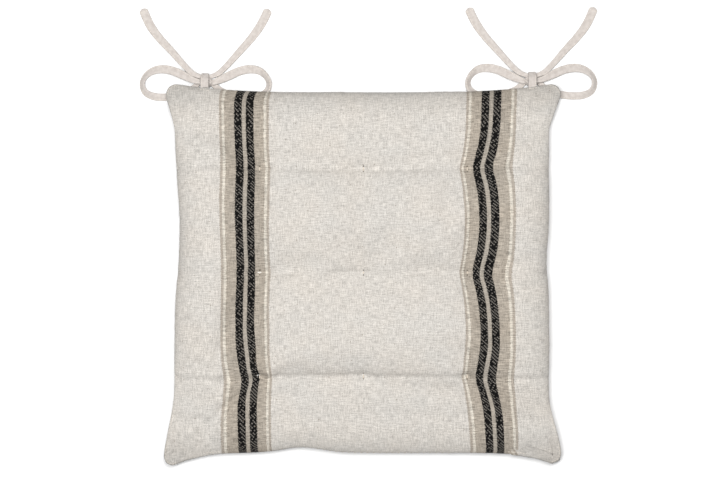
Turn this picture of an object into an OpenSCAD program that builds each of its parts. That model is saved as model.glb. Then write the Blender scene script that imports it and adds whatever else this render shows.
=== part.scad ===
// Tufted chair seat pad. Two striped cloth panels are sewn edge to edge round a fibre
// filling, nine thread tufts pull the faces together, and a folded tape sewn into the
// back edge near each corner is knotted in a bow.
// Millimetres. Z is up, Y points to the back of the chair, and the origin is the middle
// of the underside, on the seat.

/* [Pad] */
// Width from corner to corner
pad_w = 400; // [330:1:480]
// Depth from corner to corner
pad_d = 380; // [315:1:460]
// Height of the edge seam above the seat
seam_z = 16; // [14:0.5:20]
// Rise of the top face above the edge seam
crown = 24; // [19:0.5:30]
// How far the side edges pull in between the corners
side_pull = 12; // [0:0.5:16]
// How far the front and back edges pull in between the corners
end_pull = 10; // [0:0.5:16]
// Radius of the corners
corner_r = 10; // [8:0.5:13]
// Width of the rounding from the seam up to the top face
top_edge = 45; // [36:1:54]
// Width of the rounding from the seam down to the underside
bottom_edge = 38; // [30:1:46]

/* [Cloth] */
// Thickness of the cover cloth
cloth_t = 1; // [0.8:0.1:1.2]
// Depth of the edges turned in at the seam
allowance = 10; // [8:0.5:12]
// Space left between the filling and the cloth
fill_gap = 0.3; // [0.2:0.1:0.6]
// How far the filling stops short of the turned in edges
fill_stop = 5; // [4:0.5:7]

/* [Tufts] */
// Distance between tufts
tuft_pitch = 104; // [86:1:125]
// How deep a tuft pulls the top face down
top_dip = 16; // [10:0.5:19]
// How far a tuft pulls the underside up
bottom_dip = 5; // [4.5:0.1:6]
// Reach of a tuft's dimple in the top face
top_dimple_r = 48; // [38:1:57]
// Reach of a tuft's dimple in the underside
bottom_dimple_r = 36; // [30:1:42]
// Distance between a tuft's two needle holes
tuft_stitch = 4.4; // [3.7:0.1:5.3]
// Diameter of the tufting thread
tuft_thread_d = 1.2; // [1:0.1:1.4]
// Free end of the thread past the knot under a tuft
tuft_tail = 9; // [6:0.5:12]

/* [Seam] */
// Diameter of the sewing thread
thread_d = 0.7; // [0.6:0.05:0.8]
// Stitch spacing along the seam
stitch_pitch = 8; // [6.5:0.1:9.5]
// Gap between one stitch and the next
stitch_gap = 1.4; // [1:0.1:1.8]
// How far inside the edge the seam's stitches run
stitch_in = 3.4; // [3:0.1:4]
// Start of the stitches that close the filling slot, from the middle of the front edge
closing_from = -62; // [-75:1:-50]
// Length of the closed filling slot
closing_l = 150; // [120:1:180]
// Spacing of the closing stitches
closing_pitch = 6; // [5:0.5:7.5]

/* [Ties] */
// Distance from the left corner to the left tie
left_tie_inset = 41; // [34:1:50]
// Distance from the right corner to the right tie
right_tie_inset = 31; // [26:1:38]
// Thickness of the folded tie tape
tape_t = 1.6; // [1.4:0.1:1.7]
// Width of the tape where it leaves the seam
tape_root_w = 8; // [6.5:0.1:9]
// Depth of the fold held inside the seam
fold_l = 9; // [7:0.5:9.5]
// How far the fold stands out of the seam
fold_out = 3.2; // [3:0.1:3.6]
// Rows of thread in a bartack
bartack_rows = 4; // [3:1:5]

/* [Hidden] */
half_w = pad_w / 2;
half_d = pad_d / 2;
tuft_rows = [-1, 0, 1];
tuft_flat = 5;                  // half the flat bottom of a dimple
running_gap = 0.15;             // thread to needle hole, all round
touch_gap = 0.05;               // between a thread and the cloth that it lies on
slot_gap = 0.4;                 // tape to the sides of its opening in the seam
hinge_gap = 0.6;                // end of the fold to the tape as it swings up
ply_gap = 0.2;                  // between the two plies of a folded tape
needle_r = tuft_thread_d / 2 + running_gap;
fill_edge = allowance + fill_stop;
thread_r = thread_d / 2;
ply_z = (tape_t + ply_gap) / 2; // each ply's middle above or below the seam
fold_h = 2 * tape_t + ply_gap;
leg_start = fold_out + fold_h / 2 + hinge_gap;

function tuft_name(row, column) = str("tuft_", ["front", "middle", "back"][row + 1], "_",
                                      ["left", "centre", "right"][column + 1]);

// ---- Outline and height of the pad ----
// s and t are the nominal place across and along a plain rectangle. place() rounds its
// corners and pulls its sides in, and can inset it.

function ease(k) = k <= 0 ? 0 : k >= 1 ? 1 : k * k * (3 - 2 * k);
function edge_share(a, half) = ease((abs(a) - tuft_pitch - tuft_flat) / (half - tuft_pitch - tuft_flat));

function rounded(s, t) =
    let (a = (abs(s) - half_w + corner_r) / corner_r, b = (abs(t) - half_d + corner_r) / corner_r)
    a <= 0 || b <= 0 ? [s, t] :
    [sign(s) * (half_w - corner_r + corner_r * a * sqrt(1 - b * b / 2)),
     sign(t) * (half_d - corner_r + corner_r * b * sqrt(1 - a * a / 2))];

function place(s, t, inset = 0) =
    let (p = rounded(s, t),
         side_in = side_pull * (1 - pow(min(1, abs(p.y) / (half_d - corner_r)), 8)) + inset,
         end_in = end_pull * (1 - pow(min(1, abs(p.x) / (half_w - corner_r)), 4)) + inset)
    [p.x - sign(p.x) * side_in * edge_share(p.x, half_w),
     p.y - sign(p.y) * end_in * edge_share(p.y, half_d)];

// From 0 on the seam to 1 on the flat of the face, as a quarter ellipse.
function edge_rise(d, reach) = d >= reach ? 1 : sqrt(max(0, 1 - pow(1 - d / reach, 2)));
function rise(s, t, reach) = edge_rise(half_w - abs(s), reach) * edge_rise(half_d - abs(t), reach);

function tuft_distance(s, t) =
    min([for (i = tuft_rows, j = tuft_rows) norm([s, t] - tuft_pitch * [i, j])]);
function dimple(s, t, reach) =
    let (flat_r = tuft_flat * sqrt(2) + 0.1, k = (tuft_distance(s, t) - flat_r) / (reach - flat_r))
    k <= 0 ? 1 : k >= 1 ? 0 : pow(1 - k, 2);

// face is 1 for the top and -1 for the underside.
function face_h(face) = face > 0 ? crown : seam_z;
function face_rise(face, s, t) = rise(s, t, face > 0 ? top_edge : bottom_edge);
function face_dip(face, s, t) =
    face > 0 ? top_dip * dimple(s, t, top_dimple_r) : bottom_dip * dimple(s, t, bottom_dimple_r);

function outer_z(face, s, t) =
    seam_z + face * (face_h(face) * face_rise(face, s, t) - face_dip(face, s, t));
function inner_z(face, s, t) =
    seam_z + face * (cloth_t + (face_h(face) - 2 * cloth_t) * face_rise(face, s, t) - face_dip(face, s, t));
function fill_z(face, s, t) = inner_z(face, s, t) - face * fill_gap;

// ---- A grid over the pad, finer at the edges and flat in each dimple ----

function half_lines(half) = let (first = tuft_flat, last = tuft_pitch - tuft_flat, rim = half - top_edge)
    concat([for (k = [0:5]) first + k * (last - first) / 5],
           [tuft_pitch + tuft_flat, (tuft_pitch + tuft_flat + rim) / 2],
           [rim, half - (top_edge + fill_edge) / 2, half - fill_edge],
           [for (share = [0.45, 0.13, 0]) half - fill_edge * share]);
function lines(half) = let (h = half_lines(half), n = len(h))
    concat([for (k = [n - 1:-1:0]) -h[k]], h);

across = lines(half_w);
along = lines(half_d);
// The filling stops three lines short of the rim.
fill_lines = [3:len(across) - 4];
fill_across = [for (k = fill_lines) across[k]];
fill_along = [for (k = fill_lines) along[k]];

// A face is a square grid of n by n points, of which the first has the number start.
function cell(n, start, i, j) = start + i * n + j;
function grid_faces(n, start, up) =
    [for (i = [0:n - 2], j = [0:n - 2])
        let (a = cell(n, start, i, j), b = cell(n, start, i + 1, j),
             c = cell(n, start, i + 1, j + 1), d = cell(n, start, i, j + 1))
        each up ? [[a, c, b], [a, d, c]] : [[a, b, c], [a, c, d]]];
// Once round the grid's rim, anticlockwise from the front left corner.
function rim(n) =
    concat([for (i = [0:n - 2]) [i, 0]], [for (j = [0:n - 2]) [n - 1, j]],
           [for (i = [n - 1:-1:1]) [i, n - 1]], [for (j = [n - 1:-1:1]) [0, j]]);
function rim_numbers(n, start) = [for (ij = rim(n)) cell(n, start, ij[0], ij[1])];
function strip(lower, upper) = let (n = len(lower))
    [for (k = [0:n - 1]) each [[lower[k], lower[(k + 1) % n], upper[(k + 1) % n]],
                               [lower[k], upper[(k + 1) % n], upper[k]]]];
function count_from(start, n) = [for (k = [0:n - 1]) start + k];
function flipped(faces) = [for (f = faces) [f[2], f[1], f[0]]];

// ---- Cover ----

// One cloth panel: its face, the cloth's inner side, and the edge turned in at the seam.
module panel(face) {
    n = len(across);
    n_rim = len(rim(n));
    function rim_loop(inset, z) =
        [for (ij = rim(n)) concat(place(across[ij[0]], along[ij[1]], inset), [z])];
    outer = [for (s = across, t = along) concat(place(s, t), [outer_z(face, s, t)])];
    inner = [for (s = across, t = along) concat(place(s, t, cloth_t), [inner_z(face, s, t)])];
    turned = concat(rim_loop(allowance, seam_z), rim_loop(allowance, seam_z + face * cloth_t));
    turn_seam = count_from(2 * n * n, n_rim);
    turn_inside = count_from(2 * n * n + n_rim, n_rim);
    faces = concat(grid_faces(n, 0, true), grid_faces(n, n * n, false),
                   strip(rim_numbers(n, 0), turn_seam), strip(turn_seam, turn_inside),
                   strip(turn_inside, rim_numbers(n, n * n)));
    polyhedron(points = concat(outer, inner, turned), faces = face > 0 ? faces : flipped(faces),
               convexity = 8);
}

module each_tuft() {
    for (i = tuft_rows, j = tuft_rows) translate([i, j, 0] * tuft_pitch) children();
}

// The pair of holes that a tuft's needle makes.
module needle_holes(r) {
    for (y = [-1, 1]) translate([0, y * tuft_stitch / 2, -1])
        cylinder(h = seam_z + crown + 2, r = r, $fn = 24);
}

// Where the folded tape comes out between the panels.
module tape_slot(x) {
    slot_w = tape_root_w + 2 * slot_gap;
    slot_h = fold_h + slot_gap;
    translate([x - slot_w / 2, back_edge(x) - allowance - 1, seam_z - slot_h / 2])
        cube([slot_w, allowance + 3, slot_h]);
}

module cover_panel(face) {
    difference() {
        panel(face);
        each_tuft() needle_holes(needle_r);
        for (x = [left_tie_x, right_tie_x]) tape_slot(x);
    }
}

module top_panel() { color([0.87, 0.85, 0.80]) cover_panel(1); }
module bottom_panel() { color([0.85, 0.83, 0.78]) cover_panel(-1); }

// ---- Filling ----

module filling() {
    n = len(fill_across);
    function skin(face) = [for (s = fill_across, t = fill_along)
        concat(place(s, t, cloth_t + fill_gap), [fill_z(face, s, t)])];
    faces = concat(grid_faces(n, 0, true), grid_faces(n, n * n, false),
                   strip(rim_numbers(n, 0), rim_numbers(n, n * n)));
    color([0.95, 0.95, 0.93]) difference() {
        polyhedron(points = concat(skin(1), skin(-1)), faces = faces, convexity = 4);
        each_tuft() needle_holes(needle_r + running_gap);
    }
}

// ---- Tufts ----

// One half ring of thread, standing on its two ends.
module thread_arch() {
    rotate([90, 0, 90]) rotate_extrude(angle = 180, $fn = 32)
        translate([tuft_stitch / 2, 0]) circle(d = tuft_thread_d, $fn = 16);
}

// A loop of strong thread through the pad, knotted underneath with two short ends.
module tuft(row, column) {
    z_low = bottom_dip - touch_gap;
    z_high = outer_z(1, 0, 0) + touch_gap;
    knot_r = tuft_thread_d * 1.2;
    knot_z = z_low - tuft_stitch / 2;
    color([0.80, 0.77, 0.70]) translate([column, row, 0] * tuft_pitch) {
        for (y = [-1, 1]) translate([0, y * tuft_stitch / 2, z_low])
            cylinder(h = z_high - z_low, d = tuft_thread_d, $fn = 16);
        translate([0, 0, z_high]) thread_arch();
        translate([0, 0, z_low]) mirror([0, 0, 1]) thread_arch();
        translate([0, 0, knot_z]) sphere(r = knot_r, $fn = 24);
        for (turn = [35, 160]) translate([0, 0, knot_z]) rotate([0, 90, turn])
            cylinder(h = tuft_tail, d = tuft_thread_d * 0.7, $fn = 16);
    }
}

// ---- Seam ----

// A straight bar of thread between two points.
module thread_bar(a, b, d = thread_d) {
    v = b - a;
    translate(a) rotate([0, acos(v.z / norm(v)), atan2(v.y, v.x)])
        cylinder(h = norm(v), d = d, $fn = 16);
}

// One side walked in even steps between its two rounded corners, as pairs of stitch ends.
function side_steps(half) =
    let (n = floor(2 * (half - corner_r) / stitch_pitch), first = -n * stitch_pitch / 2)
    [for (k = [0:n - 1]) let (start = first + k * stitch_pitch)
        [start + stitch_gap / 2, start + stitch_pitch - stitch_gap / 2]];

module seam_stitches(face) {
    z = seam_z + face * (cloth_t + thread_r + touch_gap);
    function clear_of_tape(p) = p.y < 0 || min([for (x = [left_tie_x, right_tie_x]) abs(p.x - x)])
                                           > tape_root_w / 2 + slot_gap + stitch_pitch;
    for (end = [-1, 1]) {
        for (p = side_steps(half_w)) {
            a = place(p[0], end * half_d, stitch_in);
            b = place(p[1], end * half_d, stitch_in);
            if (clear_of_tape((a + b) / 2)) thread_bar([a.x, a.y, z], [b.x, b.y, z]);
        }
        for (p = side_steps(half_d)) {
            a = place(end * half_w, p[0], stitch_in);
            b = place(end * half_w, p[1], stitch_in);
            thread_bar([a.x, a.y, z], [b.x, b.y, z]);
        }
    }
}

module seam_needle_thread() { color([0.88, 0.86, 0.82]) seam_stitches(1); }
module seam_bobbin_thread() { color([0.88, 0.86, 0.82]) seam_stitches(-1); }

// Small upright stitches over the front edge, which close the slot the filling went in by.
module closing_stitches() {
    h = 2 * cloth_t + 1.2;
    color([0.86, 0.84, 0.79])
        for (x = [closing_from:closing_pitch:closing_from + closing_l]) {
            edge = place(x, -half_d);
            translate([edge.x, edge.y - thread_r - touch_gap, seam_z - h / 2])
                cylinder(h = h, d = thread_d, $fn = 16);
        }
}

// ---- Ties ----

left_tie_x = -half_w + left_tie_inset;
right_tie_x = half_w - right_tie_inset;
function back_edge(x) = place(x, half_d).y;

// Each leg's route through the bow: x, y, z and the tape's width there, then how far the
// tape leans over, or "free" where it follows the knot. x is measured from the tie, y
// from the edge of the pad, and z from the seat. The left tie is the mirror image.
free = "free";
under_route = [
    [0, leg_start, seam_z - ply_z, tape_root_w, free], [0.1, 6.9, 14.3, 7.5, free],
    [0.8, 7.2, 12, 7, free], [2.4, 6.9, 10.2, 5.6, free], [6, 6.6, 8.9, 5.2, 0],
    [13, 8.6, 7.6, 6.5, 0], [24, 14, 5.6, 8.5, 0],
    [34, 18, 3.8, 8.5, 0], [44.5, 19.5, 2.6, 8.5, 8], [54, 17.2, 3, 8, 25], [61, 11.5, 3.8, 7.5, 45],
    [63.5, 4, 3.8, 7.5, 48], [60.5, -3.6, 3.2, 7.5, 35], [53, -7.6, 2.2, 7.5, 18], [43, -8.6, 1.3, 7.5, 0],
    [30, -7.2, 1.2, 7.5, 0], [18, -3.4, 1.4, 7, 0], [11, 1.6, 2, 6, 0], [6.5, 6, 3, 5, 0],
    [2.5, 9, 4, 4, 0], [-2, 10.7, 5, 4, 0], [-7.5, 12.6, 5.6, 4.5, 0], [-14, 15.8, 5.4, 5.5, 0],
    [-23, 24.6, 4.4, 6, 0], [-34, 37, 2.8, 7, 0], [-46.6, 51.5, 1.4, 8, 0], [-56, 65, 1, 8.8, 0],
    [-63.5, 80, 1, 8.8, 0]];
over_route = [
    [0, leg_start, seam_z + ply_z, tape_root_w, free], [0, 8.4, 16, 8, free], [0, 11.2, 13.4, 8, free],
    [0, 13.4, 10.2, 7.6, free], [0, 14.2, 6.6, 7.4, free], [0, 12.8, 3.2, 7.2, free],
    [0, 9.6, 1.3, 7, free], [0, 5.8, 1.2, 7, free], [-0.2, 2.8, 2.6, 6.6, free],
    [-0.6, 1.6, 5.4, 6.2, free], [-2, 2.4, 8, 5.8, free], [-5.5, 4.6, 8.8, 5.6, free],
    [-10, 6.4, 8, 6, 0], [-16, 9, 6.8, 7.5, 0], [-24, 12.8, 5.4, 8.5, 0],
    [-34, 17.4, 3.8, 8.5, 0], [-44.5, 19.5, 2.6, 8.5, 8], [-54, 17.8, 3, 8, 25], [-61, 12, 3.8, 7.5, 45],
    [-64, 4.4, 3.8, 7.5, 48], [-61, -3.2, 3.2, 7.5, 35], [-53, -8, 2.2, 7.5, 18], [-43, -9.2, 1.3, 7.5, 0],
    [-30, -7.4, 1.2, 7.5, 0], [-18, -3.6, 1.4, 7, 0], [-11, 1.4, 3.4, 6, 0], [-6.5, 5.8, 5.6, 5, 0],
    [-2.5, 8.9, 7, 4, 0], [2, 10.6, 7.6, 4, 0], [7.5, 12.6, 7.4, 4.5, 0], [14, 16, 6.8, 5.5, 0],
    [23, 25, 5, 6, 0], [34, 37.5, 3, 7, 0], [46.6, 51, 1.4, 8, 0], [56, 64, 1, 8.8, 0],
    [63.5, 80.5, 1, 8.8, 0]];

function unit(v) = v / norm(v);
function route_points(route) = [for (p = route) [p[0], p[1], p[2]]];
function tangents(points) = let (n = len(points) - 1)
    [for (i = [0:n]) unit(points[min(i + 1, n)] - points[max(i - 1, 0)])];
// The tape's width direction: carried on through the knot, and level elsewhere.
function carried(side, t) = unit(side - (side * t) * t);
function level(side, t) = let (s = unit(cross([0, 0, 1], t))) s * side < 0 ? -s : s;
function widths(route, t, i = 0, made = []) = i == len(route) ? made :
    let (last = i == 0 ? [1, 0, 0] : made[i - 1],
         s = route[i][4] == free ? carried(last, t[i]) : level(last, t[i]))
    widths(route, t, i + 1, concat(made, [s]));

tape_sides = 8;
function tape_ring(p, s, t, w, lean) =
    let (up = cross(s, t), turned = s * cos(lean) + up * sin(lean), over = up * cos(lean) - s * sin(lean),
         grow = 1 / cos(180 / tape_sides))
    [for (k = [0:tape_sides - 1]) let (a = (k + 0.5) * 360 / tape_sides)
        p + turned * (w / 2 * grow * cos(a)) + over * (tape_t / 2 * grow * sin(a))];

// A flat tape swept along its route.
module tape(route) {
    points = route_points(route);
    t = tangents(points);
    s = widths(route, t);
    n = len(route);
    rings = [for (i = [0:n - 1]) each tape_ring(points[i], s[i], t[i], route[i][3],
                                                 route[i][4] == free ? 0 : route[i][4])];
    walls = [for (i = [0:n - 2], k = [0:tape_sides - 1])
        let (a = i * tape_sides + k, b = i * tape_sides + (k + 1) % tape_sides)
        each [[a, b, b + tape_sides], [a, b + tape_sides, a + tape_sides]]];
    first_end = [for (k = [tape_sides - 1:-1:0]) k];
    last_end = [for (k = [0:tape_sides - 1]) (n - 1) * tape_sides + k];
    polyhedron(points = rings, faces = concat(walls, [first_end, last_end]), convexity = 10);
}

// Puts a tie's own frame where the tape leaves the edge.
module at_tie(side) {
    x = side < 0 ? left_tie_x : right_tie_x;
    translate([x, back_edge(x), 0]) mirror([side < 0 ? 1 : 0, 0, 0]) children();
}

tape_colour = [0.86, 0.82, 0.77];
module under_leg(side) { color(tape_colour) at_tie(side) tape(under_route); }
module over_leg(side) { color(tape_colour) at_tie(side) tape(over_route); }

// The middle of the tape, folded double and held between the panels.
module tie_fold(side) {
    straight = fold_l - fold_h / 2;
    color(tape_colour) at_tie(side) translate([-tape_root_w / 2, 0, seam_z]) rotate([90, 0, 90])
        linear_extrude(tape_root_w) difference() {
            union() {
                translate([-straight, -fold_h / 2]) square([straight + fold_out, fold_h]);
                translate([-straight, 0]) circle(d = fold_h, $fn = 32);
            }
            translate([-straight, -ply_gap / 2]) square([straight + fold_out + 1, ply_gap]);
        }
}

// Rows of thread across the fold, which hold it to the turned-in edges.
module tie_bartack(side) {
    row_pitch = thread_d + 0.15;
    first = -fold_l / 2 - row_pitch * (bartack_rows - 1) / 2;
    z = seam_z + fold_h / 2 + thread_r + touch_gap;
    color([0.88, 0.86, 0.82]) at_tie(side) for (k = [0:bartack_rows - 1])
        translate([-tape_root_w / 2 + 0.5, first + k * row_pitch, z]) rotate([0, 90, 0])
            cylinder(h = tape_root_w - 1, d = thread_d, $fn = 16);
}

// Two short rows of thread across the hem at the end of each leg.
module end_tacks(side) {
    tack_w = 5.6;
    color([0.88, 0.86, 0.82]) at_tie(side) for (route = [under_route, over_route]) {
        n = len(route) - 1;
        p = route_points(route);
        t = unit(p[n] - p[n - 1]);
        s = unit(cross([0, 0, 1], t));
        for (back = [2.2, 4]) {
            middle = p[n] - back * t + [0, 0, tape_t / 2 + thread_r + touch_gap];
            thread_bar(middle - s * tack_w / 2, middle + s * tack_w / 2);
        }
    }
}

top_panel();
bottom_panel();
filling();
seam_needle_thread();
seam_bobbin_thread();
closing_stitches();
for (row = tuft_rows, column = tuft_rows)
    tuft(row, column);
for (side = [-1, 1]) {
    name = side < 0 ? "left_tie_" : "right_tie_";
    tie_fold(side);
    tie_bartack(side);
    under_leg(side);
    over_leg(side);
    end_tacks(side);
}
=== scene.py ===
"""A tufted chair seat pad of striped slub cotton, with a tape tied in a bow at each back corner."""
import math

import bpy
import numpy as np
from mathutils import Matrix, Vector, noise


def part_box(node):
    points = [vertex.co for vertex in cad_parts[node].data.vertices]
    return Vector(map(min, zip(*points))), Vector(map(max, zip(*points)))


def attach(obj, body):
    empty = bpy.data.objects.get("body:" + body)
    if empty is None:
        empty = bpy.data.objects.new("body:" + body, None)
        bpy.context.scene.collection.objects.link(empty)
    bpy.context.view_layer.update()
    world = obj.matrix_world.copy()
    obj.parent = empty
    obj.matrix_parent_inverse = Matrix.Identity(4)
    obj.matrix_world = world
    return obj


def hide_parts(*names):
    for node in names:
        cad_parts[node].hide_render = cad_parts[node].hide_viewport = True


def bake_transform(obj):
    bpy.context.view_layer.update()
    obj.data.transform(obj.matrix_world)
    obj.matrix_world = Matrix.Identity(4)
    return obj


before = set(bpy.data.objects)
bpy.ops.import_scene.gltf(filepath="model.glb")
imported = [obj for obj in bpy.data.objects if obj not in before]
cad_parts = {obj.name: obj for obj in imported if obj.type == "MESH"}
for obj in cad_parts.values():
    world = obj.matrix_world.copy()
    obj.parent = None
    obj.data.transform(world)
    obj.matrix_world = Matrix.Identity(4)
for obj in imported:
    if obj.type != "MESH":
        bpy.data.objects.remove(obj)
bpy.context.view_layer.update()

MM = 0.001


# ---- Camera, floor and light ----
# The pad lies on a white table and is seen from straight above. One wide soft box hangs over
# it, a little to the back left, and the white room fills in the shade.

pad_low, pad_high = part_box("top_panel")
seam_z = pad_low.z
lens_mm = 100
sensor_mm = 36
view_width = 0.723
aim = Vector((-0.002, 0.0325, seam_z))

camera = bpy.data.objects.new("camera", bpy.data.cameras.new("camera"))
camera.data.lens = lens_mm
camera.data.sensor_width = sensor_mm
camera.data.clip_end = 20
camera.location = aim + Vector((0, 0, view_width * lens_mm / sensor_mm))
bpy.context.scene.collection.objects.link(camera)
bpy.context.scene.camera = camera
bpy.context.scene.view_settings.view_transform = "Standard"


def linear(code):
    """An sRGB hex colour as linear red, green, blue and alpha."""
    parts = [int(code[k:k + 2], 16) / 255 for k in (0, 2, 4)]
    return [p / 12.92 if p <= 0.04045 else ((p + 0.055) / 1.055) ** 2.4 for p in parts] + [1]


def add(tree, kind, settings, inputs):
    """Adds a node. Each input gets a value, a node's first output, or a (node, output) pair."""
    node = tree.nodes.new(kind)
    for name, value in settings.items():
        setattr(node, name, value)
    for name, value in inputs.items():
        if isinstance(value, bpy.types.Node):
            value = (value, 0)
        if isinstance(value, tuple) and isinstance(value[0], bpy.types.Node):
            tree.links.new(value[0].outputs[value[1]], node.inputs[name])
        else:
            node.inputs[name].default_value = value
    return node


def new_material(name):
    """An empty material, its tree and its surface shader."""
    material = bpy.data.materials.new(name)
    material.use_nodes = True
    tree = material.node_tree
    return material, tree, tree.nodes["Principled BSDF"]


def placed(name, data):
    """A new object in the scene."""
    item = bpy.data.objects.new(name, data)
    bpy.context.scene.collection.objects.link(item)
    return item


def smoothed(mesh):
    for polygon in mesh.polygons:
        polygon.use_smooth = True


def soft_box(name, place, size, power):
    light = bpy.data.lights.new(name, "AREA")
    light.shape = "RECTANGLE"
    light.size, light.size_y = size
    light.energy = power
    lamp = placed(name, light)
    lamp.location = place
    lamp.rotation_euler = (aim - lamp.location).to_track_quat("-Z", "Y").to_euler()


soft_box("overhead_soft_box", Vector((-0.1, 0.16, 1.9)), (1.2, 0.4), 48)
world = bpy.data.worlds.new("white_room")
world.use_nodes = True
world.node_tree.nodes["Background"].inputs["Color"].default_value = (1, 1, 1, 1)
world.node_tree.nodes["Background"].inputs["Strength"].default_value = 0.16
bpy.context.scene.world = world

floor_size = 3.0
floor_z = -0.3 * MM
floor_mesh = bpy.data.meshes.new("table_top")
floor_mesh.from_pydata([(x * floor_size, y * floor_size, floor_z) for x, y in
                        ((-1, -1), (1, -1), (1, 1), (-1, 1))], [], [(0, 1, 2, 3)])
table_top = placed("table_top", floor_mesh)
white_laminate, tree, shader = new_material("white laminate")
shader.inputs["Base Color"].default_value = linear("EEEEEE")
shader.inputs["Roughness"].default_value = 0.6
floor_mesh.materials.append(white_laminate)


# ---- Ties ----
# Cotton tape, cut as a strip, folded in and stitched along its open edge. Each tie is one
# piece, sewn into the back seam by its middle, and its two legs are tied in a bow: the over
# leg goes once round the under leg's loop and comes out through the middle as the other loop.

FREE = None
tape_t = 1.7 * MM
tape_w = 8.8 * MM
tip_l = 3.2 * MM
pleat_h = 0.22 * MM
ring_step = 1.1 * MM
fold_out = 3.2 * MM

# Each point: x, y and z in millimetres from the tie's place on the pad's edge, the tape's
# width there, and how far it leans over in degrees, or FREE where it keeps its own twist.
under_route = [
    (0, -7.8, 16, 8, FREE), (0, -7, 15.2, 8, FREE), (0, 0, 15.1, 8, FREE), (0, 3.4, 15.1, 8, FREE),
    (0, 5.5, 15.1, 8, FREE), (0.1, 6.9, 14.3, 7.5, FREE),
    (0.8, 7.2, 12, 7, FREE), (2.4, 6.9, 10.2, 5.6, FREE), (6, 6.6, 8.9, 5.2, 0),
    (13, 8.6, 7.6, 6.5, 0), (24, 14, 5.6, 8.5, 0),
    (34, 18, 3.8, 8.5, 0), (44.5, 19.5, 2.6, 8.5, 8), (54, 17.2, 3, 8, 25), (61, 11.5, 3.8, 7.5, 45),
    (63.5, 4, 3.8, 7.5, 48), (60.5, -3.6, 3.2, 7.5, 35), (53, -7.6, 2.2, 7.5, 18), (43, -8.6, 1.3, 7.5, 0),
    (30, -7.2, 1.2, 7.5, 0), (18, -3.4, 1.4, 7, 0), (11, 1.6, 2, 6, 0), (6.5, 6, 3, 5, 0),
    (2.5, 9, 4, 4, 0), (-2, 10.7, 5, 4, 0), (-7.5, 12.6, 5.6, 4.5, 0), (-14, 15.8, 5.4, 5.5, 0),
    (-23, 24.6, 4.4, 6, 0), (-34, 37, 2.8, 7, 0), (-46.6, 51.5, 1.4, 8, 0), (-56, 65, 1, 8.8, 0),
    (-63.5, 80, 1, 8.8, 0)]
over_route = [
    (0, -7.8, 16, 8, FREE), (0, -7, 16.8, 8, FREE), (0, 0, 16.9, 8, FREE), (0, 3.4, 16.9, 8, FREE),
    (0, 5.5, 16.9, 8, FREE), (0, 8.4, 16, 8, FREE), (0, 11.2, 13.4, 8, FREE),
    (0, 13.4, 10.2, 7.6, FREE), (0, 14.2, 6.6, 7.4, FREE), (0, 12.8, 3.2, 7.2, FREE),
    (0, 9.6, 1.3, 7, FREE), (0, 5.8, 1.2, 7, FREE), (-0.2, 2.8, 2.6, 6.6, FREE),
    (-0.6, 1.6, 5.4, 6.2, FREE), (-2, 2.4, 8, 5.8, FREE), (-5.5, 4.6, 8.8, 5.6, FREE),
    (-10, 6.4, 8, 6, 0), (-16, 9, 6.8, 7.5, 0), (-24, 12.8, 5.4, 8.5, 0),
    (-34, 17.4, 3.8, 8.5, 0), (-44.5, 19.5, 2.6, 8.5, 8), (-54, 17.8, 3, 8, 25), (-61, 12, 3.8, 7.5, 45),
    (-64, 4.4, 3.8, 7.5, 48), (-61, -3.2, 3.2, 7.5, 35), (-53, -8, 2.2, 7.5, 18), (-43, -9.2, 1.3, 7.5, 0),
    (-30, -7.4, 1.2, 7.5, 0), (-18, -3.6, 1.4, 7, 0), (-11, 1.4, 3.4, 6, 0), (-6.5, 5.8, 5.6, 5, 0),
    (-2.5, 8.9, 7, 4, 0), (2, 10.6, 7.6, 4, 0), (7.5, 12.6, 7.4, 4.5, 0), (14, 16, 6.8, 5.5, 0),
    (23, 25, 5, 6, 0), (34, 37.5, 3, 7, 0), (46.6, 51, 1.4, 8, 0), (56, 64, 1, 8.8, 0),
    (63.5, 80.5, 1, 8.8, 0)]


def unit(v):
    return v / max(np.linalg.norm(v), 1e-9)


def smooth_path(points, step):
    """A Catmull-Rom curve through the rows of points, sampled about every step of its length."""
    p = np.vstack([2 * points[0] - points[1], points, 2 * points[-1] - points[-2]])
    rows = []
    for k in range(1, len(p) - 2):
        n = max(2, int(np.linalg.norm(p[k + 1, :3] - p[k, :3]) / step))
        for t in np.arange(n) / n:
            rows.append(0.5 * (2 * p[k] + (p[k + 1] - p[k - 1]) * t
                               + (2 * p[k - 1] - 5 * p[k] + 4 * p[k + 1] - p[k + 2]) * t ** 2
                               + (3 * p[k] - p[k - 1] - 3 * p[k + 1] + p[k + 2]) * t ** 3))
    return np.array(rows + [p[-2]])


def run_along(points):
    """How far along the path each point lies."""
    return np.concatenate([[0], np.cumsum(np.linalg.norm(np.diff(points, axis=0), axis=1))])


def tube_faces(rings, sides):
    """The faces between each ring of points and the next."""
    return [(a * sides + b, a * sides + (b + 1) % sides,
             (a + 1) * sides + (b + 1) % sides, (a + 1) * sides + b)
            for a in range(rings - 1) for b in range(sides)]


def tape_section():
    """The folded tape's outline, across and up from -1 to 1: a round fold on one side, and on
    the other the two open edges, with a groove where the stitching pulls them together."""
    top = [(-0.97, 0.45), (-0.88, 0.86), (-0.72, 1.0), (-0.4, 0.98), (0.0, 0.95), (0.4, 0.98),
           (0.6, 0.96), (0.7, 0.7), (0.8, 0.9), (0.93, 0.86), (0.99, 0.5), (0.95, 0.06)]
    return top + [(x, -y) for x, y in reversed(top)] + [(-1.0, 0.0)]


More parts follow.
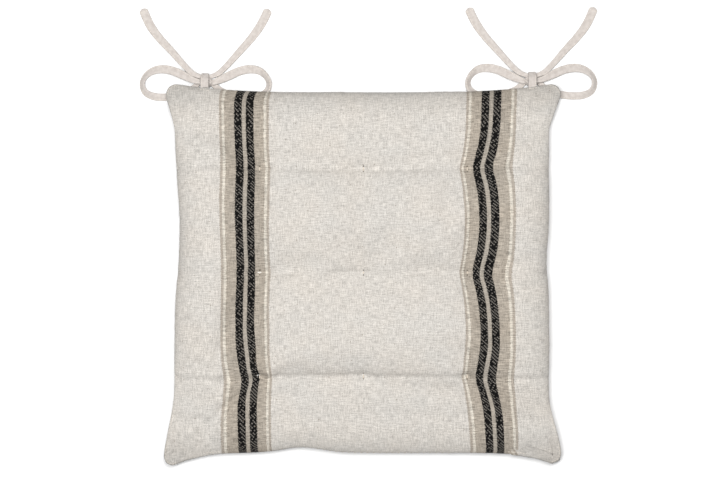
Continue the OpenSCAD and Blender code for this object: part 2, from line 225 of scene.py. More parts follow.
def tie_frames(route, side):
    """Centres, width directions, up directions and half widths along one leg, in metres."""
    mirror = np.array([side, 1, 1])
    rows = np.array([[*p[:4], 0 if p[4] is FREE else p[4], p[4] is FREE] for p in route], float)
    path = smooth_path(rows, ring_step / MM)
    centre = path[:, :3]
    tangent = np.gradient(centre, axis=0)
    tangent /= np.linalg.norm(tangent, axis=1)[:, None]
    across, last = [], np.array([1.0, 0, 0])
    for t, row in zip(tangent, path):
        carried = unit(last - (last @ t) * t)
        level = unit(np.cross([0, 0, 1], t))
        if level @ carried < 0:
            level = -level
        k = min(1, max(0, row[5]))
        if row[5] <= 0.02:
            k = 0.8
        last = unit(carried * k + level * (1 - k))
        across.append(last)
    across = np.array(across)
    up = np.cross(across, tangent)
    lean = np.radians(path[:, 4])[:, None]
    turned = across * np.cos(lean) + up * np.sin(lean)
    over = up * np.cos(lean) - across * np.sin(lean)
    return [centre * mirror * MM, turned * mirror, over * mirror, path[:, 3] * MM / 2]


def tie_leg(name, route, side, root):
    """Sweeps the tape's outline along a leg. Returns the object, its path and its frames."""
    centre, across, up, half = tie_frames(route, side)
    centre = centre + np.array([root.x, root.y, 0])
    run = run_along(centre)
    section = np.array(tape_section())
    vertices = []
    widest = tape_w / 2
    for k in range(len(centre)):
        to_end = max(0.0, run[-1] - run[k])
        tip = math.sqrt(max(0.05, 1 - max(0, 1 - to_end / tip_l) ** 2))
        gathered = 1 - half[k] / widest
        for x, y in section:
            pleat = 0.0
            if abs(y) > 0.5:
                pleat = pleat_h * gathered * math.cos(3 * math.pi * x) * math.copysign(1, y)
            h = tape_t / 2 * (1 + 0.9 * gathered) * (0.55 + 0.45 * tip)
            vertices.append(centre[k] + across[k] * x * half[k] * tip + up[k] * (y * h + pleat))
    n = len(section)
    faces = tube_faces(len(centre), n)
    faces += [tuple(range(n)), tuple(range(len(vertices) - 1, len(vertices) - n - 1, -1))]
    mesh = bpy.data.meshes.new(name)
    mesh.from_pydata([tuple(v) for v in vertices], [], faces)
    layer = mesh.uv_layers.new(name="along_tape")
    around = run_along(section * [1, 0.25])
    for polygon in mesh.polygons:
        for loop in polygon.loop_indices:
            v = mesh.loops[loop].vertex_index
            layer.data[loop].uv = (around[v % n] * widest, run[v // n])
    smoothed(mesh)
    piece = placed(name, mesh)
    bpy.context.view_layer.objects.active = piece
    piece.select_set(True)
    bpy.ops.object.mode_set(mode="EDIT")
    bpy.ops.mesh.select_all(action="SELECT")
    bpy.ops.mesh.normals_make_consistent(inside=False)
    bpy.ops.object.mode_set(mode="OBJECT")
    piece.select_set(False)
    return piece, centre, across, up, half, run


# Woven cotton tape: fine, matt and a little uneven along its length. Its yarns are drawn
# 0.9 mm apart, because real ones, at a third of that, would not show.
tape_yarn = 0.9 * MM
cotton_tape, tree, shader = new_material("woven cotton tape")
uv = add(tree, "ShaderNodeUVMap", {"uv_map": "along_tape"}, {})
waves = add(tree, "ShaderNodeVectorMath", {"operation": "SCALE"},
            {0: uv, "Scale": 2 * math.pi / tape_yarn})
waves = add(tree, "ShaderNodeVectorMath", {"operation": "SINE"}, {0: waves})
wave = add(tree, "ShaderNodeSeparateXYZ", {}, {0: waves})
weave = add(tree, "ShaderNodeMath", {"operation": "MULTIPLY"}, {0: wave, 1: (wave, 1)})
slub = add(tree, "ShaderNodeTexNoise", {"noise_dimensions": "2D"},
           {"Vector": uv, "Scale": 260.0, "Detail": 3.0})
shade = add(tree, "ShaderNodeMapRange", {}, {0: slub, 1: 0.3, 2: 0.7})
tape_colour = add(tree, "ShaderNodeMix", {"data_type": "RGBA"},
                  {0: shade, "A": linear("BAB2AC"), "B": linear("CAC3BD")})
tree.links.new(tape_colour.outputs["Result"], shader.inputs["Base Color"])
height = add(tree, "ShaderNodeMath", {"operation": "MULTIPLY_ADD"}, {0: weave, 1: 0.3, 2: slub})
bump = add(tree, "ShaderNodeBump", {}, {"Height": height, "Strength": 0.5, "Distance": 0.15 * MM})
tree.links.new(bump.outputs[0], shader.inputs["Normal"])
shader.inputs["Roughness"].default_value = 0.92
shader.inputs["Specular IOR Level"].default_value = 0.25
shader.inputs["Sheen Weight"].default_value = 0.15


def stitch_tree():
    """Geometry Nodes that lay one stitch after another along every line of a mesh."""
    tree = bpy.data.node_groups.new("stitches", "GeometryNodeTree")
    face = tree.interface
    face.new_socket("Geometry", in_out="INPUT", socket_type="NodeSocketGeometry")
    for name, kind in (("Pitch", "NodeSocketFloat"), ("Stitch Length", "NodeSocketFloat"),
                       ("Thread", "NodeSocketFloat"), ("Slant", "NodeSocketFloat"),
                       ("Material", "NodeSocketMaterial")):
        face.new_socket(name, in_out="INPUT", socket_type=kind)
    face.new_socket("Geometry", in_out="OUTPUT", socket_type="NodeSocketGeometry")
    start = add(tree, "NodeGroupInput", {}, {})
    lines = add(tree, "GeometryNodeMeshToCurve", {}, {0: start})
    upright = add(tree, "GeometryNodeSetCurveNormal", {"mode": "Z_UP"}, {0: lines})
    points = add(tree, "GeometryNodeCurveToPoints", {"mode": "LENGTH"},
                 {0: upright, "Length": (start, "Pitch")})
    slant = add(tree, "ShaderNodeCombineXYZ", {}, {0: (start, "Slant")})
    turn = add(tree, "FunctionNodeEulerToRotation", {}, {0: slant})
    turned = add(tree, "FunctionNodeRotateRotation", {"rotation_space": "LOCAL"},
                 {0: (points, "Rotation"), 1: turn})
    size = add(tree, "ShaderNodeCombineXYZ", {}, {0: (start, "Thread"), 1: (start, "Thread"),
                                                  2: (start, "Stitch Length")})
    stitch = add(tree, "GeometryNodeMeshUVSphere", {}, {"Segments": 8, "Rings": 6, "Radius": 0.5})
    row = add(tree, "GeometryNodeInstanceOnPoints", {},
              {"Points": points, "Instance": stitch, "Rotation": turned, "Scale": size})
    real = add(tree, "GeometryNodeRealizeInstances", {}, {0: row})
    smooth = add(tree, "GeometryNodeSetShadeSmooth", {}, {0: real})
    sewn = add(tree, "GeometryNodeSetMaterial", {}, {0: smooth, "Material": (start, "Material")})
    add(tree, "NodeGroupOutput", {}, {0: sewn})
    return tree


stitches_along = stitch_tree()


def stitches(name, rows, pitch, length, thread, material, slant=0.0, closed=False):
    """A mesh of stitches along rows of points."""
    vertices, edges = [], []
    for row in rows:
        first = len(vertices)
        vertices += [tuple(p) for p in row]
        edges += [(k, k + 1) for k in range(first, len(vertices) - 1)]
        if closed:
            edges.append((len(vertices) - 1, first))
    mesh = bpy.data.meshes.new(name)
    mesh.from_pydata(vertices, edges, [])
    piece = placed(name, mesh)
    sewing = piece.modifiers.new("sewing", "NODES")
    sewing.node_group = stitches_along
    sockets = {item.name: item.identifier for item in stitches_along.interface.items_tree
               if item.in_out == "INPUT"}
    for socket, value in (("Pitch", pitch), ("Stitch Length", length), ("Thread", thread),
                          ("Slant", slant), ("Material", material)):
        sewing[sockets[socket]] = value
    return applied(piece)


def applied(piece):
    """The piece with its modifiers turned into its mesh."""
    graph = bpy.context.evaluated_depsgraph_get()
    mesh = bpy.data.meshes.new_from_object(piece.evaluated_get(graph))
    piece.modifiers.clear()
    piece.data = mesh
    return piece


# Two-ply polyester-cotton sewing thread: smooth, with a slight lustre.
sewing_thread, tree, shader = new_material("natural sewing thread")
place = add(tree, "ShaderNodeTexCoord", {}, {})
ply = add(tree, "ShaderNodeTexWave", {"wave_type": "BANDS", "bands_direction": "DIAGONAL"},
          {"Vector": (place, "Object"), "Scale": 700.0, "Distortion": 1.0})
tint = add(tree, "ShaderNodeMix", {"data_type": "RGBA"},
           {0: ply, "A": linear("CFC4B6"), "B": linear("EAE3D9")})
tree.links.new(tint.outputs["Result"], shader.inputs["Base Color"])
bump = add(tree, "ShaderNodeBump", {}, {"Height": ply, "Strength": 0.4, "Distance": 0.06 * MM})
tree.links.new(bump.outputs[0], shader.inputs["Normal"])
shader.inputs["Roughness"].default_value = 0.6
shader.inputs["Specular IOR Level"].default_value = 0.35

groove = 0.7
# The stitching along the tape: where it starts, and its pitch, stitch length and thread.
sewn_from = 12 * MM
edge_stitch = (2.6 * MM, 2.0 * MM, 0.42 * MM)
for side, tie in ((-1, "left_tie"), (1, "right_tie")):
    low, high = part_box(tie + "_fold")
    root = Vector(((low.x + high.x) / 2, high.y - fold_out, 0))
    for leg, route in (("under_leg", under_route), ("over_leg", over_route)):
        piece, centre, across, up, half, run = tie_leg(f"{tie}_{leg}_tape", route, side, root)
        piece.data.materials.append(cotton_tape)
        sewn = slice(int(sewn_from / ring_step), -3)
        thick = (up * tape_t * 0.52)[sewn]
        edge = (centre + across * (half * groove)[:, None])[sewn]
        tip = centre[-4] + np.outer(np.linspace(-0.8, 0.6, 5), across[-4] * half[-4])
        tip_thick = up[-4] * tape_t * 0.48
        seams = [edge + thick, edge - thick, tip + tip_thick, tip - tip_thick]
        tack = stitches(f"{tie}_{leg}_stitching", seams, *edge_stitch, sewing_thread)
        nodes = [f"{tie}_{leg}"] + ([f"{tie}_fold"] if leg == "over_leg" else [])
        for part in (piece, tack):
            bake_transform(part)
        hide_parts(*nodes)
        if leg == "over_leg":
            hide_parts(f"{tie}_end_tacks")


# ---- Cover ----
# Two panels of slub cotton, woven with two groups of taupe and black stripes, sewn face to
# face and turned out. They start as the flat cut: the seam is drawn in to the pad's outline and
# the tufts are pulled down, while the filling presses the cloth outwards.

tuft_pitch = (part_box("tuft_middle_right")[0].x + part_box("tuft_middle_right")[1].x) / 2
tuft_top = 8 * MM
tuft_bottom = -11 * MM
cut_w, cut_d = 398 * MM, 386 * MM
cut_corner = 12 * MM
cut_tufts = (104.5 * MM, 107.5 * MM)
half_outline = ((pad_high.x - pad_low.x) / 2 - 1.2 * MM, (pad_high.y - pad_low.y) / 2 - 0.4 * MM)
columns, rows = 88, 84
pull_frames, rest_frames = 14, 30
loft, loft_reach = 4.5 * MM, 20 * MM
tuft_stitch = 4.4 * MM


def cloth_lines(half, tufts, count):
    """Evenly spaced lines across the cut, with the nearest ones moved on to the tufts."""
    lines = np.linspace(-half, half, count + 1)
    for place in (-tufts, 0, tufts):
        lines[np.abs(lines - place).argmin()] = place
    return lines


def ease(t):
    t = np.clip(t, 0, 1)
    return t * t * (3 - 2 * t)


def round_corners(x, y, half_x, half_y, radius):
    """Moves the points of a rectangle's corners in, on to an arc."""
    a, b = (np.abs(x) - half_x + radius) / radius, (np.abs(y) - half_y + radius) / radius
    inside = (a > 0) & (b > 0)
    a, b = np.where(inside, a, 0), np.where(inside, b, 0)
    new_x = np.sign(x) * (half_x - radius + radius * a * np.sqrt(1 - b * b / 2))
    new_y = np.sign(y) * (half_y - radius + radius * b * np.sqrt(1 - a * a / 2))
    return np.where(inside, new_x, x), np.where(inside, new_y, y)


# How deep the seam is drawn in along a side, in millimetres: its depth, and where it runs out
# towards the front and the back corner. Each side is also nipped in at one place.
side_pull = {-1: (9.4, (115, 182), (143, 181)), 1: (13.2, (120, 184), (143, 183))}
side_nip = {-1: (5.6, 42, 62), 1: (2.6, 14, 24)}
back_pull, front_pull, front_nip = 9.2, 9.2, (5.6, -62, 28)
# The front corners were poked out further than the others when the cover was turned.
ears = {-1: (-2.5, -5.5), 1: (0.5, -2.5)}
ear_reach = 24


def pulled_side(y, side):
    depth, front, back = side_pull[side]
    nip, middle, reach = side_nip[side]
    y = y / MM
    start, end = np.where(y < 0, front[0], back[0]), np.where(y < 0, front[1], back[1])
    return (depth * (1 - ease((np.abs(y) - start) / (end - start)))
            + nip * np.exp(-((y - middle) / reach) ** 2)) * MM


def pulled_end(x, y):
    nip, middle, reach = front_nip
    along = np.minimum(1, np.abs(x) / (half_outline[0] - 11 * MM))
    front = front_pull * (1 - along ** 8) + nip * np.exp(-((x / MM - middle) / reach) ** 2)
    return np.where(y > 0, back_pull * (1 - along ** 4), front) * MM


def drawn_in(x, y):
    """Where the seam and the tufts hold a place on the flat cut, in plan."""
    half_x, half_y = half_outline

    def spread(v, half, tufts, outline):
        beyond = tuft_pitch + (np.abs(v) - tufts) / (half - tufts) * (outline - tuft_pitch)
        return np.sign(v) * np.where(np.abs(v) <= tufts, np.abs(v) * tuft_pitch / tufts, beyond)

    x = spread(x, cut_w / 2, cut_tufts[0], half_x)
    y = spread(y, cut_d / 2, cut_tufts[1], half_y)
    in_x = np.where(x < 0, pulled_side(y, -1), pulled_side(y, 1))
    in_y = pulled_end(x, y)
    clear = tuft_pitch + 5 * MM
    x = x - np.sign(x) * in_x * ease((np.abs(x) - clear) / (half_x - clear))
    y = y - np.sign(y) * in_y * ease((np.abs(y) - clear) / (half_y - clear))
    for side, (ear_x, ear_y) in ears.items():
        near = np.exp(-((x - side * half_x) ** 2 + (y + half_y) ** 2) / (ear_reach * MM) ** 2)
        x, y = x + ear_x * MM * near, y + ear_y * MM * near
    return x, y


line_x = cloth_lines(cut_w / 2, cut_tufts[0], columns)
line_y = cloth_lines(cut_d / 2, cut_tufts[1], rows)
grid_x, grid_y = np.meshgrid(line_x, line_y, indexing="ij")
flat_x, flat_y = round_corners(grid_x, grid_y, cut_w / 2, cut_d / 2, cut_corner)
rim = np.zeros(grid_x.shape, bool)
rim[[0, -1], :] = rim[:, [0, -1]] = True
to_seam = np.minimum(cut_w / 2 - np.abs(flat_x), cut_d / 2 - np.abs(flat_y))
flat_z = np.where(rim, 0, loft * np.minimum(1, to_seam / loft_reach))
top_ids = np.arange(grid_x.size).reshape(grid_x.shape)
bottom_ids = np.where(rim, top_ids, 0)
bottom_ids[~rim] = grid_x.size + np.arange((~rim).sum())
flat = np.vstack([np.stack([flat_x, flat_y, flat_z], -1).reshape(-1, 3),
                  np.stack([flat_x, flat_y, -flat_z], -1)[~rim]])


def grid_faces(ids, upward):
    a, b, c, d = ids[:-1, :-1], ids[1:, :-1], ids[1:, 1:], ids[:-1, 1:]
    corners = (a, b, c, d) if upward else (d, c, b, a)
    return np.stack(corners, -1).reshape(-1, 4).tolist()


def inflated():
    """The cover's points after the seam and the tufts are pulled and the filling presses."""
    mesh = bpy.data.meshes.new("cut_cloth")
    mesh.from_pydata(flat.tolist(), [], grid_faces(top_ids, True) + grid_faces(bottom_ids, False))
    cut = placed("cut_cloth", mesh)
    pulled = flat.copy()
    pulled[:, 0], pulled[:, 1] = drawn_in(flat[:, 0], flat[:, 1])
    held = set(top_ids[rim].tolist())
    for x in (-cut_tufts[0], 0, cut_tufts[0]):
        for y in (-cut_tufts[1], 0, cut_tufts[1]):
            i, j = np.abs(line_x - x).argmin(), np.abs(line_y - y).argmin()
            for ids, height in ((top_ids, tuft_top), (bottom_ids, tuft_bottom)):
                pulled[ids[i, j], 2] = height
                held.add(int(ids[i, j]))
    cut.vertex_groups.new(name="held").add(sorted(held), 1.0, "REPLACE")
    cut.shape_key_add(name="flat")
    key = cut.shape_key_add(name="pulled")
    key.data.foreach_set("co", pulled.ravel())
    for value, number in ((0, 1), (1, pull_frames)):
        key.value = value
        key.keyframe_insert("value", frame=number)
    cloth = cut.modifiers.new("cloth", "CLOTH")
    settings = cloth.settings
    settings.quality = 8
    settings.mass = 0.3
    settings.air_damping = 1
    settings.tension_stiffness = settings.compression_stiffness = 30
    settings.shear_stiffness = 10
    settings.bending_stiffness = 4
    settings.tension_damping = settings.compression_damping = settings.shear_damping = 5
    settings.bending_damping = 0.5
    settings.use_pressure = True
    settings.uniform_pressure_force = 5
    settings.vertex_group_mass = "held"
    settings.pin_stiffness = 1
    settings.effector_weights.gravity = 0
    cloth.collision_settings.use_collision = False
    cloth.point_cache.frame_start, cloth.point_cache.frame_end = 1, rest_frames + 1
    for number in range(1, rest_frames + 1):
        bpy.context.scene.frame_set(number)
    graph = bpy.context.evaluated_depsgraph_get()
    result = cut.evaluated_get(graph).to_mesh()
    points = np.empty(len(flat) * 3)
    result.vertices.foreach_get("co", points)
    cut.evaluated_get(graph).to_mesh_clear()
    bpy.context.scene.frame_set(1)
    bpy.data.objects.remove(cut)
    return points.reshape(-1, 3)


cover = inflated()
# The chair's seat flattens the underside.
seat_gap = seam_z - 0.2 * MM
flatness = 6
below = cover[:, 2] < 0
deep = np.maximum(-cover[below, 2], 1e-6)
cover[below, 2] = -(deep ** -flatness + seat_gap ** -flatness) ** (-1 / flatness)
cover[:, 2] += seam_z
top_points, bottom_points = cover[top_ids], cover[bottom_ids]


# How many rows of the grid roll over on to the seam, how far they bulge past it, and between
# which rows from a corner the bulge sets in.
round_rows = 10
side_bulge = 1.6 * MM
corner_rows, full_rows = 3, 12


def rounded_sides(points):
    """Fills out the four sides, so that they bulge a little past the seam between the corners."""
    rounded = points.copy()
    for axis in (0, 1):
        grid = np.moveaxis(rounded, axis, 0)
        across = np.minimum(np.arange(grid.shape[1]), np.arange(grid.shape[1])[::-1])
        weight = ease((across - corner_rows) / (full_rows - corner_rows))
        for edge, step in ((0, 1), (-1, -1)):
            rim_row, inner_row = grid[edge].copy(), grid[edge + step * round_rows].copy()
            for k in range(1, round_rows):
                angle = k / round_rows * math.pi / 2
                bulge = np.sign(rim_row[:, axis]) * side_bulge * math.sin(2 * angle)
                row = grid[edge + step * k]
                for c, share in ((axis, 1 - math.cos(angle)), (2, math.sin(angle))):
                    aim_c = rim_row[:, c] + (inner_row[:, c] - rim_row[:, c]) * share
                    if c == axis:
                        aim_c = aim_c + bulge
                    row[:, c] += weight * (aim_c - row[:, c])
    return rounded


top_points, bottom_points = rounded_sides(top_points), rounded_sides(bottom_points)


def wavering(x, y, z):
    """Smooth noise from -1 to 1 for each point, all in wavelengths."""
    return np.array([noise.noise(Vector((float(a), float(b), float(c))))
                     for a, b, c in np.broadcast(x, y, z)])


allowance_rows = ((1.2 * MM, 0.05 * MM), (4 * MM, 0.05 * MM), (10 * MM, 0.05 * MM))
cloth_t = 0.9 * MM
seam_gap = 0.4 * MM
tie_gap_reach = 6 * MM


def rim_loop(grid):
    """The rows of the grid's outer edge in order, once round."""
    return np.concatenate([grid[:-1, 0], grid[-1, :-1], grid[:0:-1, -1], grid[0, :0:-1]])


def inward_from(edge):
    """The level direction into the pad at each point of the seam."""
    along = np.roll(edge, -1, 0) - np.roll(edge, 1, 0)
    inward = np.stack([-along[:, 1], along[:, 0], 0 * along[:, 0]], -1)
    return inward / np.linalg.norm(inward, axis=1)[:, None]


def tie_gap(edge):
    """How far each side of the seam stands off where a tie is caught in it."""
    opened = np.zeros(len(edge))
    for tie in ("left_tie_fold", "right_tie_fold"):
        low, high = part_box(tie)
        off = (edge[:, 0] - (low.x + high.x) / 2) / tie_gap_reach
        opened += np.where(edge[:, 1] > 0, tape_t * np.exp(-off ** 4), 0)
    return opened


def panel(name, points, side):
    """One panel: its crowned face, and the seam allowance turned in behind the seam."""
    ids = np.arange(points.shape[0] * points.shape[1]).reshape(points.shape[:2])
    vertices = [points.reshape(-1, 3).copy()]
    cut_place = [np.stack([flat_x, flat_y], -1).reshape(-1, 2)]
    loop = rim_loop(ids)
    edge, cut_edge = vertices[0][loop], cut_place[0][loop]
    inward, opened = inward_from(edge), tie_gap(edge)
    vertices[0][loop, 2] += side * (seam_gap + opened)
    faces = grid_faces(ids, side > 0)
    last, start = loop, ids.size
    for depth, gap in allowance_rows:
        ring_points = edge * [1, 1, 0] + inward * depth
        ring_points[:, 2] = seam_z + side * (gap + opened)
        vertices.append(ring_points)
        cut_place.append(cut_edge * (1 + depth / (cut_w / 2)))
        ring = np.arange(start, start + len(loop))
        quads = np.stack([last, ring, np.roll(ring, -1), np.roll(last, -1)], -1)
        faces += (quads if side > 0 else quads[:, ::-1]).tolist()
        last, start = ring, start + len(loop)
    mesh = bpy.data.meshes.new(name)
    mesh.from_pydata(np.vstack(vertices).tolist(), [], faces)
    place = mesh.attributes.new("cut_place", "FLOAT_VECTOR", "POINT")
    place.data.foreach_set("vector", np.hstack([np.vstack(cut_place), np.zeros((start, 1))]).ravel())
    piece = placed(name, mesh)
    finer = piece.modifiers.new("finer", "SUBSURF")
    finer.levels = finer.render_levels = 1
    smooth = applied(piece)
    finish_panel(smooth, side)
    return smooth


# How far each tuft drags the stripes, in millimetres, from the front row to the back one. The
# drag reaches some way along the stripes, and to each side of the line they follow.
tuft_drag = {-1: (6.0, 1.2, 1.2), 1: (-6.6, -9.6, -9.2)}
drag_reach = 22 * MM
stripe_line, stripe_spread = 118 * MM, 34 * MM
# Each crease and dimple has its depth and its reach. A crease wavers sideways and in depth,
# over the lengths whose names end in _l.
row_crease, row_crease_varies, row_reach, row_waver = 2.2 * MM, 0.9 * MM, 3 * MM, 1.6 * MM
column_crease, column_reach, column_waver = 0.35 * MM, 4 * MM, 1.4 * MM
dimple, dimple_reach = 1.3 * MM, 4.5 * MM
waver_l, varies_l, column_waver_l = 45 * MM, 30 * MM, 50 * MM
# Lumps and puckers have a height and a wavelength.
lump, lump_l, small_lump, small_lump_l = 0.7 * MM, 50 * MM, 0.3 * MM, 21 * MM
pucker_h, pucker_l, pucker_in, pucker_reach = 0.55 * MM, 6.5 * MM, 5 * MM, 9 * MM


def finish_panel(piece, side):
    """Adds what the sewing does to the cloth: creases along the tufts, and puckers at the seam."""
    mesh = piece.data
    count = len(mesh.vertices)
    co, normal, cut = np.empty(count * 3), np.empty(count * 3), np.empty(count * 3)
    mesh.vertices.foreach_get("co", co)
    mesh.vertices.foreach_get("normal", normal)
    mesh.attributes["cut_place"].data.foreach_get("vector", cut)
    co, normal, cut = co.reshape(-1, 3), normal.reshape(-1, 3), cut.reshape(-1, 3)
    x, y = cut[:, 0], cut[:, 1]
    from_seam = np.minimum(cut_w / 2 - np.abs(x), cut_d / 2 - np.abs(y))
    face = ease(from_seam / (6 * MM))
    # A crease runs along each row of tufts out to the sides, and fainter ones down the columns.
    dent = np.zeros(count)
    for k, row in enumerate((-cut_tufts[1], 0, cut_tufts[1])):
        waver = row_waver * wavering(x / waver_l, 3.7 * k, side)
        depth = row_crease + row_crease_varies * wavering(x / varies_l, 5.1 * k, side)
        off = np.abs(y - row - waver)
        dent += depth * np.exp(-off / row_reach)
        for column in (-cut_tufts[0], 0, cut_tufts[0]):
            dent += dimple * np.exp(-np.hypot(x - column, y - row) / dimple_reach)
    for k, column in enumerate((-cut_tufts[0], 0, cut_tufts[0])):
        off = np.abs(x - column - column_waver * wavering(y / column_waver_l, 9.3 * k, side))
        dent += column_crease * np.exp(-off / column_reach)
    # The filling is a little uneven.
    lumps = lump * wavering(x / lump_l, y / lump_l, side)
    lumps += small_lump * wavering(x / small_lump_l, y / small_lump_l, side + 7)
    if side < 0:
        lumps, dent = lumps * 0.2, dent * 0.5
    # The seam thread gathers the cloth into short puckers.
    on_side = (cut_w / 2 - np.abs(x)) < (cut_d / 2 - np.abs(y))
    along = np.where(on_side, y, x)
    which_edge = np.where(on_side, 11.0, 23.0) * np.sign(np.where(on_side, x, y))
    pucker = pucker_h * wavering(along / pucker_l, which_edge, side)
    pucker *= np.exp(-((from_seam - pucker_in) / pucker_reach) ** 2)
    co += normal * ((lumps - dent + pucker) * face)[:, None]
    co[:, 2] = np.maximum(co[:, 2], 0.3 * MM)
    mesh.vertices.foreach_set("co", co.ravel())
    layer = mesh.uv_layers.new(name="cloth")
    corner = np.empty(len(mesh.loops), int)
    mesh.loops.foreach_get("vertex_index", corner)
    # The tufts drag the stripes towards the middle of the pad, and so does the sewing at its ends.
    shift = 4.5 * ease((-y / MM - 90) / 90) + np.where(x < 0, 3.5, 0.5) * ease((y / MM - 165) / 25)
    for k, row in enumerate((-cut_tufts[1], 0, cut_tufts[1])):
        drag = np.where(x < 0, tuft_drag[-1][k], tuft_drag[1][k])
        away = np.hypot(y - row, 7 * MM) - 7 * MM
        shift += drag * np.exp(-away / drag_reach)
    reach = np.exp(-((np.abs(x) - stripe_line) / stripe_spread) ** 2)
    pulled = x - shift * MM * reach
    layer.data.foreach_set("uv", np.stack([pulled, y], -1)[corner].ravel())
    smoothed(mesh)
    wall = piece.modifiers.new("cloth_thickness", "SOLIDIFY")
    wall.thickness, wall.offset = cloth_t, -1
    mesh.update()


# Slub cotton: uneven yarns in a plain weave, matt, with small dark neps left in by the spinner.
# The yarns are drawn about 1 mm thick, twice their real size, so that they show.
yarn = 1.0 * MM
slub_l = 8 * MM
slub_cotton, tree, shader = new_material("striped slub cotton")
uv = add(tree, "ShaderNodeUVMap", {"uv_map": "cloth"}, {})
place = add(tree, "ShaderNodeSeparateXYZ", {}, {0: uv})
noises = {}
for name, size_x, size_y, detail in (("weft", slub_l, yarn, 2.0), ("warp", yarn, slub_l, 2.0),
                                     ("grain", 0.8 * yarn, 0.8 * yarn, 1.0),
                                     ("tone", 45 * MM, 38 * MM, 2.0)):
    turned = add(tree, "ShaderNodeMapping", {}, {"Vector": uv, "Scale": (1 / size_x, 1 / size_y, 1)})
    noises[name] = add(tree, "ShaderNodeTexNoise", {"noise_dimensions": "2D"},
                       {"Vector": turned, "Scale": 1.0, "Detail": detail, "Roughness": 0.6})

# Stripes, from the middle of a group outwards. The weft steps their edges in and out.
stripe_middle, stripe_off, stripe_reach = 4.4 * MM, 124.0 * MM, 32 * MM
stripes = ((0, "9E978D"), (1.9, "100F0F"), (9.8, "A0988D"), (19.9, "C3BDB2"), (22.6, "A29A90"),
           (25.2, "C1BDB7"))
black_middle, black_half = 5.8 * MM, 3.9 * MM
x = add(tree, "ShaderNodeMath", {"operation": "SUBTRACT"}, {0: place, 1: stripe_middle})
x = add(tree, "ShaderNodeMath", {"operation": "ABSOLUTE"}, {0: x})
x = add(tree, "ShaderNodeMath", {"operation": "SUBTRACT"}, {0: x, 1: stripe_off})
x = add(tree, "ShaderNodeMath", {"operation": "ABSOLUTE"}, {0: x})
jag = add(tree, "ShaderNodeMath", {"operation": "MULTIPLY_ADD"},
          {0: noises["grain"], 1: 2 * MM, 2: -1 * MM})
x = add(tree, "ShaderNodeMath", {"operation": "ADD"}, {0: x, 1: jag})
share = add(tree, "ShaderNodeMath", {"operation": "DIVIDE", "use_clamp": True}, {0: x, 1: stripe_reach})
bands = add(tree, "ShaderNodeValToRGB", {}, {0: share})
bands.color_ramp.interpolation = "CONSTANT"
for k, (start, code) in enumerate(stripes):
    stop = bands.color_ramp.elements[k] if k < 2 else bands.color_ramp.elements.new(0.99)
    stop.position, stop.color = start * MM / stripe_reach, linear(code)

# The light weft shows through the black warp in slanting rows of specks, as in a twill.
speck_x, speck_y = 1.3 * MM, 1.1 * MM
cell = add(tree, "ShaderNodeVectorMath", {"operation": "DIVIDE"}, {0: uv, 1: (speck_x, speck_y, 1)})
number = add(tree, "ShaderNodeVectorMath", {"operation": "FLOOR"}, {0: cell})
chance = add(tree, "ShaderNodeTexWhiteNoise", {"noise_dimensions": "2D"}, {"Vector": number})
steps = add(tree, "ShaderNodeSeparateXYZ", {}, {0: number})
diagonal = add(tree, "ShaderNodeMath", {"operation": "ADD"}, {0: steps, 1: (steps, 1)})
third = add(tree, "ShaderNodeMath", {"operation": "FLOORED_MODULO"}, {0: diagonal, 1: 3.0})
on_line = add(tree, "ShaderNodeMath", {"operation": "LESS_THAN"}, {0: third, 1: 0.5})
shown = add(tree, "ShaderNodeMath", {"operation": "GREATER_THAN"}, {0: chance, 1: 0.3})
speck = add(tree, "ShaderNodeMath", {"operation": "MULTIPLY"}, {0: on_line, 1: shown})
dark = add(tree, "ShaderNodeMath", {"operation": "COMPARE"}, {0: x, 1: black_middle, 2: black_half})
speck = add(tree, "ShaderNodeMath", {"operation": "MULTIPLY"}, {0: speck, 1: dark})
speck = add(tree, "ShaderNodeMath", {"operation": "MULTIPLY"}, {0: speck, 1: 0.25})
woven = add(tree, "ShaderNodeMix", {"data_type": "RGBA"}, {0: speck, "A": bands, "B": linear("C9C2B8")})

# Thick and thin yarns lighten and darken the cloth, and so does its broad unevenness. The
# stripes are ribbed by the weft.
yarns = add(tree, "ShaderNodeMath", {"operation": "ADD"}, {0: noises["weft"], 1: noises["warp"]})
yarns = add(tree, "ShaderNodeMath", {"operation": "ADD"}, {0: yarns, 1: noises["grain"]})
value = add(tree, "ShaderNodeMapRange", {}, {0: yarns, 1: 1.0, 2: 2.0, 3: 0.64, 4: 1.34})
ribs = add(tree, "ShaderNodeMapRange", {}, {0: noises["weft"], 1: 0.3, 2: 0.7, 3: -0.15, 4: 0.15})
in_stripe = add(tree, "ShaderNodeMath", {"operation": "LESS_THAN"}, {0: x, 1: stripes[-1][0] * MM})
value = add(tree, "ShaderNodeMath", {"operation": "MULTIPLY_ADD"}, {0: ribs, 1: in_stripe, 2: value})
tone = add(tree, "ShaderNodeMapRange", {}, {0: noises["tone"], 1: 0.3, 2: 0.7, 3: 0.0, 4: 1.0})
warm = add(tree, "ShaderNodeMix", {"data_type": "RGBA"},
           {0: tone, "A": linear("FCFCFC"), "B": linear("FFFDFB")})
value = add(tree, "ShaderNodeVectorMath", {"operation": "SCALE"}, {0: (warm, 2), "Scale": value})
cloth_colour = add(tree, "ShaderNodeVectorMath", {"operation": "MULTIPLY"}, {0: (woven, 2), 1: value})
nep_pitch = 11 * MM
nep_cells = add(tree, "ShaderNodeTexVoronoi", {"voronoi_dimensions": "2D"},
                {"Vector": uv, "Scale": 1 / nep_pitch})
nep_chance = add(tree, "ShaderNodeSeparateXYZ", {}, {0: (nep_cells, "Color")})
